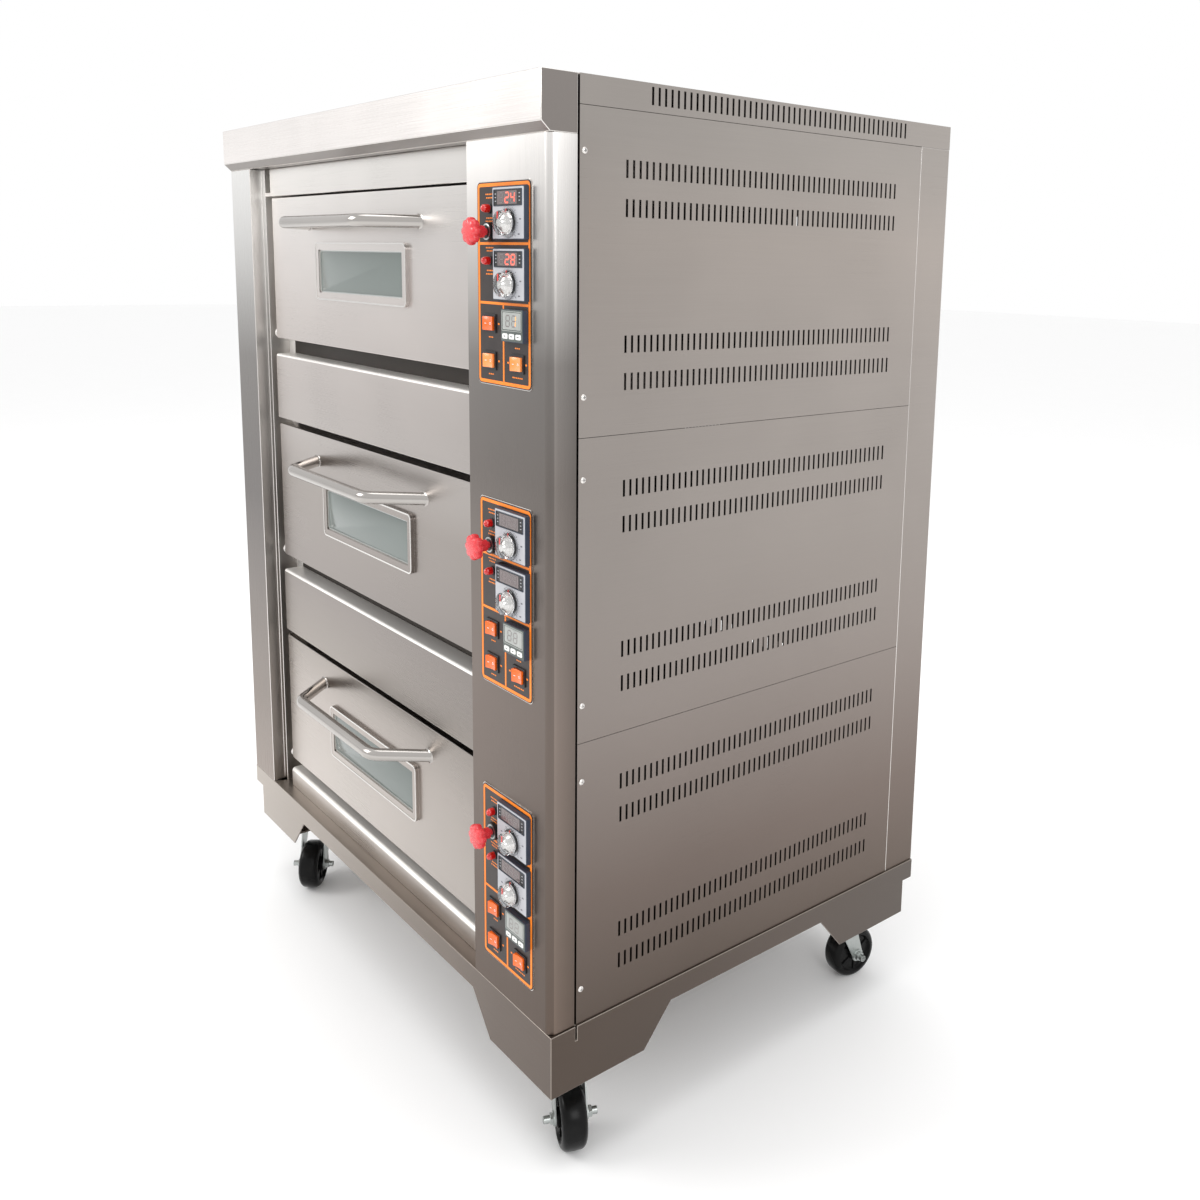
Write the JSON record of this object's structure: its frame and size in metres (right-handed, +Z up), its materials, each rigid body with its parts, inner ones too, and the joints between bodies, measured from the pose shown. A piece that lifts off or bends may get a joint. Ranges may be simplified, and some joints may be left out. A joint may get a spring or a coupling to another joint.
{
  "type": "three-deck electric bakery oven on casters",
  "caption": "Stainless steel deck oven on swivel casters, with drop-down windowed doors under tube handles and a control column on the right.",
  "frame": {"origin": "on the floor, at the centre of the oven's bounding box", "axes": "+Z up, the doors face -Y, +X towards the control column"},
  "size_m": [1.22, 0.937, 1.664],
  "materials": {
    "steel_bright": "brushed, bright",
    "steel_casing": "brushed",
    "steel_frame": "brushed, lightly worn",
    "chamber_steel": "dark heat-proof steel",
    "element_sheath": "oxidised sheath",
    "fascia_dark": "satin print",
    "module_grey": "fine texture",
    "switch_black": "fine texture",
    "lamp_red": "clear gloss",
    "button_red": "gloss",
    "rocker_orange": "gloss",
    "key_white": "satin gloss",
    "clear_knob": "clear plastic",
    "window_glass": "tempered",
    "polished_tube": "polished",
    "zinc": "zinc plated",
    "wheel_rubber": "moulded rubber"
  },
  "bodies": {
    "oven": {"base_frame": "steel_frame", "hood": "steel_bright", "roof_cover": "steel_casing", "control_column": "steel_casing", "corner_posts": "steel_casing", "side_panels": "steel_casing", "back_panel": "steel_casing", "fixed_fronts": "steel_bright", "baking_chambers": "chamber_steel", "heating_elements": "element_sheath", "fascia_plates": "fascia_dark", "instrument_modules": "module_grey", "switch_housings": "switch_black", "indicator_lamps": "lamp_red", "caster_plates": "zinc", "cable_gland": "switch_black"},
    "door_1": {"door_1_panel": "steel_bright", "door_1_glass": "window_glass", "door_1_handle": "polished_tube"},
    "door_2": {"door_2_panel": "steel_bright", "door_2_glass": "window_glass", "door_2_handle": "polished_tube"},
    "door_3": {"door_3_panel": "steel_bright", "door_3_glass": "window_glass", "door_3_handle": "polished_tube"},
    "knob_1_top": {"knob_1_top": "clear_knob"},
    "knob_1_floor": {"knob_1_floor": "clear_knob"},
    "knob_2_top": {"knob_2_top": "clear_knob"},
    "knob_2_floor": {"knob_2_floor": "clear_knob"},
    "knob_3_top": {"knob_3_top": "clear_knob"},
    "knob_3_floor": {"knob_3_floor": "clear_knob"},
    "mushroom_1": {"mushroom_1": "button_red"},
    "mushroom_2": {"mushroom_2": "button_red"},
    "mushroom_3": {"mushroom_3": "button_red"},
    "rocker_1_power": {"rocker_1_power": "rocker_orange"},
    "rocker_1_heat": {"rocker_1_heat": "rocker_orange"},
    "rocker_1_light": {"rocker_1_light": "rocker_orange"},
    "rocker_2_power": {"rocker_2_power": "rocker_orange"},
    "rocker_2_heat": {"rocker_2_heat": "rocker_orange"},
    "rocker_2_light": {"rocker_2_light": "rocker_orange"},
    "rocker_3_power": {"rocker_3_power": "rocker_orange"},
    "rocker_3_heat": {"rocker_3_heat": "rocker_orange"},
    "rocker_3_light": {"rocker_3_light": "rocker_orange"},
    "timer_key_1_a": {"timer_key_1_a": "key_white"},
    "timer_key_1_b": {"timer_key_1_b": "key_white"},
    "timer_key_1_c": {"timer_key_1_c": "key_white"},
    "timer_key_2_a": {"timer_key_2_a": "key_white"},
    "timer_key_2_b": {"timer_key_2_b": "key_white"},
    "timer_key_2_c": {"timer_key_2_c": "key_white"},
    "timer_key_3_a": {"timer_key_3_a": "key_white"},
    "timer_key_3_b": {"timer_key_3_b": "key_white"},
    "timer_key_3_c": {"timer_key_3_c": "key_white"},
    "caster_fork_fl": {"caster_fork_fl": "zinc"},
    "caster_wheel_fl": {"caster_wheel_fl": "wheel_rubber"},
    "caster_fork_fr": {"caster_fork_fr": "zinc"},
    "caster_wheel_fr": {"caster_wheel_fr": "wheel_rubber"},
    "caster_fork_rl": {"caster_fork_rl": "zinc"},
    "caster_wheel_rl": {"caster_wheel_rl": "wheel_rubber"},
    "caster_fork_rr": {"caster_fork_rr": "zinc"},
    "caster_wheel_rr": {"caster_wheel_rr": "wheel_rubber"}
  },
  "joints": [
    {"name": "door_1_hinge", "type": "hinge", "parent": "oven", "child": "door_1", "pos_m": [-0.046, -0.3705, 1.252], "axis": [1, 0, 0], "range_deg": [0, 90]},
    {"name": "door_2_hinge", "type": "hinge", "parent": "oven", "child": "door_2", "pos_m": [-0.046, -0.3705, 0.7895], "axis": [1, 0, 0], "range_deg": [0, 90]},
    {"name": "door_3_hinge", "type": "hinge", "parent": "oven", "child": "door_3", "pos_m": [-0.046, -0.3705, 0.327], "axis": [1, 0, 0], "range_deg": [0, 90]},
    {"name": "knob_1_top_turn", "type": "hinge", "parent": "oven", "child": "knob_1_top", "pos_m": [0.519, -0.4285, 1.4645], "axis": [0, -1, 0], "range_deg": [-270, 0]},
    {"name": "knob_1_floor_turn", "type": "hinge", "parent": "oven", "child": "knob_1_floor", "pos_m": [0.519, -0.4285, 1.3795], "axis": [0, -1, 0], "range_deg": [-270, 0]},
    {"name": "knob_2_top_turn", "type": "hinge", "parent": "oven", "child": "knob_2_top", "pos_m": [0.519, -0.4285, 1.002], "axis": [0, -1, 0], "range_deg": [-270, 0]},
    {"name": "knob_2_floor_turn", "type": "hinge", "parent": "oven", "child": "knob_2_floor", "pos_m": [0.519, -0.4285, 0.917], "axis": [0, -1, 0], "range_deg": [-270, 0]},
    {"name": "knob_3_top_turn", "type": "hinge", "parent": "oven", "child": "knob_3_top", "pos_m": [0.519, -0.4285, 0.5395], "axis": [0, -1, 0], "range_deg": [-270, 0]},
    {"name": "knob_3_floor_turn", "type": "hinge", "parent": "oven", "child": "knob_3_floor", "pos_m": [0.519, -0.4285, 0.4545], "axis": [0, -1, 0], "range_deg": [-270, 0]},
    {"name": "mushroom_1_press", "type": "slide", "parent": "oven", "child": "mushroom_1", "axis": [0, 1, 0], "range_m": [0, 0.004], "stiffness_N_per_m": 1500, "springref_m": -0.002},
    {"name": "mushroom_2_press", "type": "slide", "parent": "oven", "child": "mushroom_2", "axis": [0, 1, 0], "range_m": [0, 0.004], "stiffness_N_per_m": 1500, "springref_m": -0.002},
    {"name": "mushroom_3_press", "type": "slide", "parent": "oven", "child": "mushroom_3", "axis": [0, 1, 0], "range_m": [0, 0.004], "stiffness_N_per_m": 1500, "springref_m": -0.002},
    {"name": "rocker_1_power_tilt", "type": "hinge", "parent": "oven", "child": "rocker_1_power", "pos_m": [0.454, -0.4085, 1.322], "axis": [0, 0, -1], "range_deg": [0, 14]},
    {"name": "rocker_1_heat_tilt", "type": "hinge", "parent": "oven", "child": "rocker_1_heat", "pos_m": [0.454, -0.4085, 1.268], "axis": [0, 0, -1], "range_deg": [0, 14]},
    {"name": "rocker_1_light_tilt", "type": "hinge", "parent": "oven", "child": "rocker_1_light", "pos_m": [0.529, -0.4085, 1.268], "axis": [0, 0, -1], "range_deg": [0, 14]},
    {"name": "rocker_2_power_tilt", "type": "hinge", "parent": "oven", "child": "rocker_2_power", "pos_m": [0.454, -0.4085, 0.8595], "axis": [0, 0, -1], "range_deg": [0, 14]},
    {"name": "rocker_2_heat_tilt", "type": "hinge", "parent": "oven", "child": "rocker_2_heat", "pos_m": [0.454, -0.4085, 0.8055], "axis": [0, 0, -1], "range_deg": [0, 14]},
    {"name": "rocker_2_light_tilt", "type": "hinge", "parent": "oven", "child": "rocker_2_light", "pos_m": [0.529, -0.4085, 0.8055], "axis": [0, 0, -1], "range_deg": [0, 14]},
    {"name": "rocker_3_power_tilt", "type": "hinge", "parent": "oven", "child": "rocker_3_power", "pos_m": [0.454, -0.4085, 0.397], "axis": [0, 0, -1], "range_deg": [0, 14]},
    {"name": "rocker_3_heat_tilt", "type": "hinge", "parent": "oven", "child": "rocker_3_heat", "pos_m": [0.454, -0.4085, 0.343], "axis": [0, 0, -1], "range_deg": [0, 14]},
    {"name": "rocker_3_light_tilt", "type": "hinge", "parent": "oven", "child": "rocker_3_light", "pos_m": [0.529, -0.4085, 0.343], "axis": [0, 0, -1], "range_deg": [0, 14]},
    {"name": "swivel_fl", "type": "hinge", "parent": "oven", "child": "caster_fork_fl", "pos_m": [-0.486, -0.3205, 0.131], "axis": [0, 0, 1], "continuous": true},
    {"name": "roll_fl", "type": "hinge", "parent": "caster_fork_fl", "child": "caster_wheel_fl", "pos_m": [-0.46072, -0.34171, 0.051], "axis": [0.6428, 0.766, 0], "continuous": true},
    {"name": "swivel_fr", "type": "hinge", "parent": "oven", "child": "caster_fork_fr", "pos_m": [0.522, -0.3205, 0.131], "axis": [0, 0, 1], "continuous": true},
    {"name": "roll_fr", "type": "hinge", "parent": "caster_fork_fr", "child": "caster_wheel_fr", "pos_m": [0.55238, -0.33339, 0.051], "axis": [0.3907, 0.9205, 0], "continuous": true},
    {"name": "swivel_rl", "type": "hinge", "parent": "oven", "child": "caster_fork_rl", "pos_m": [-0.486, 0.3315, 0.131], "axis": [0, 0, 1], "continuous": true},
    {"name": "roll_rl", "type": "hinge", "parent": "caster_fork_rl", "child": "caster_wheel_rl", "pos_m": [-0.49729, 0.36251, 0.051], "axis": [0.9397, 0.342, 0], "continuous": true},
    {"name": "swivel_rr", "type": "hinge", "parent": "oven", "child": "caster_fork_rr", "pos_m": [0.522, 0.3315, 0.131], "axis": [0, 0, 1], "continuous": true},
    {"name": "roll_rr", "type": "hinge", "parent": "caster_fork_rr", "child": "caster_wheel_rr", "pos_m": [0.52602, 0.36425, 0.051], "axis": [0.9925, -0.1219, 0], "continuous": true},
    {"name": "timer_key_1_a_press", "type": "slide", "parent": "oven", "child": "timer_key_1_a", "axis": [0, 1, 0], "range_m": [0, 0.0008], "stiffness_N_per_m": 800, "springref_m": -0.001},
    {"name": "timer_key_1_b_press", "type": "slide", "parent": "oven", "child": "timer_key_1_b", "axis": [0, 1, 0], "range_m": [0, 0.0008], "stiffness_N_per_m": 800, "springref_m": -0.001},
    {"name": "timer_key_1_c_press", "type": "slide", "parent": "oven", "child": "timer_key_1_c", "axis": [0, 1, 0], "range_m": [0, 0.0008], "stiffness_N_per_m": 800, "springref_m": -0.001},
    {"name": "timer_key_2_a_press", "type": "slide", "parent": "oven", "child": "timer_key_2_a", "axis": [0, 1, 0], "range_m": [0, 0.0008], "stiffness_N_per_m": 800, "springref_m": -0.001},
    {"name": "timer_key_2_b_press", "type": "slide", "parent": "oven", "child": "timer_key_2_b", "axis": [0, 1, 0], "range_m": [0, 0.0008], "stiffness_N_per_m": 800, "springref_m": -0.001},
    {"name": "timer_key_2_c_press", "type": "slide", "parent": "oven", "child": "timer_key_2_c", "axis": [0, 1, 0], "range_m": [0, 0.0008], "stiffness_N_per_m": 800, "springref_m": -0.001},
    {"name": "timer_key_3_a_press", "type": "slide", "parent": "oven", "child": "timer_key_3_a", "axis": [0, 1, 0], "range_m": [0, 0.0008], "stiffness_N_per_m": 800, "springref_m": -0.001},
    {"name": "timer_key_3_b_press", "type": "slide", "parent": "oven", "child": "timer_key_3_b", "axis": [0, 1, 0], "range_m": [0, 0.0008], "stiffness_N_per_m": 800, "springref_m": -0.001},
    {"name": "timer_key_3_c_press", "type": "slide", "parent": "oven", "child": "timer_key_3_c", "axis": [0, 1, 0], "range_m": [0, 0.0008], "stiffness_N_per_m": 800, "springref_m": -0.001}
  ]
}
